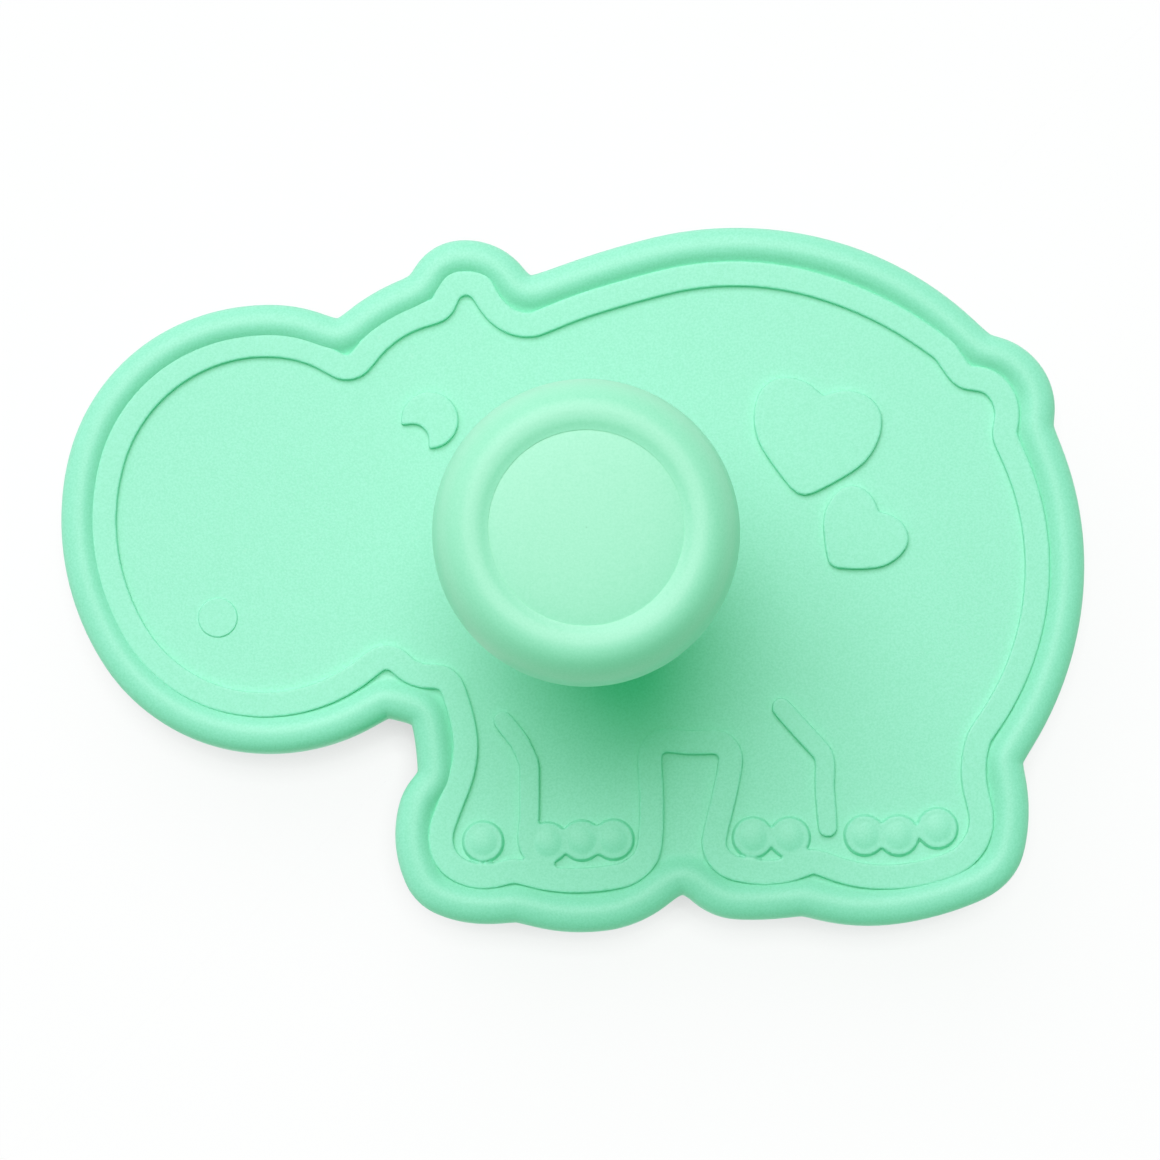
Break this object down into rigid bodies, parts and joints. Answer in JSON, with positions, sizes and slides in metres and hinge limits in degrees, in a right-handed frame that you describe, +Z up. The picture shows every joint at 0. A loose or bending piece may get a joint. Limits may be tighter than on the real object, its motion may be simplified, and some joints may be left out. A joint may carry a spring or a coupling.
{
  "type": "plunger cutter",
  "caption": "Spring-loaded plunger cutter in a hippo outline: it cuts a biscuit shape, embosses its lines and pushes the dough out when the knob is pressed.",
  "frame": {"origin": "on the plane of the cutting edge, under the middle of the hippo outline's bounding box", "axes": "+X towards the hippo's tail, +Y towards its back, +Z up along the plunger to the knob"},
  "size_m": [0.0723, 0.0498, 0.0439],
  "materials": {
    "body_plastic": "matte moulded, mint green",
    "stamp_plastic": "matte moulded, mint green",
    "stem_plastic": "smooth moulded, mint green",
    "spring_steel": "drawn stainless wire",
    "knob_plastic": "matte moulded, mint green",
    "cap_plastic": "matte moulded, mint green",
    "screw_steel": "plain stainless"
  },
  "bodies": {
    "cutter": {"cutter_body": "body_plastic", "return_spring": "spring_steel"},
    "plunger": {"stamp_plate": "stamp_plastic", "plunger_stem": "stem_plastic", "knob": "knob_plastic", "knob_cap": "cap_plastic", "stem_screw": "screw_steel"}
  },
  "joints": [
    {"name": "plunger_press", "type": "slide", "parent": "cutter", "child": "plunger", "axis": [0, 0, -1], "range_m": [0, 0.0094], "stiffness_N_per_m": 400, "springref_m": -0.004, "deforming": ["return_spring"]}
  ]
}
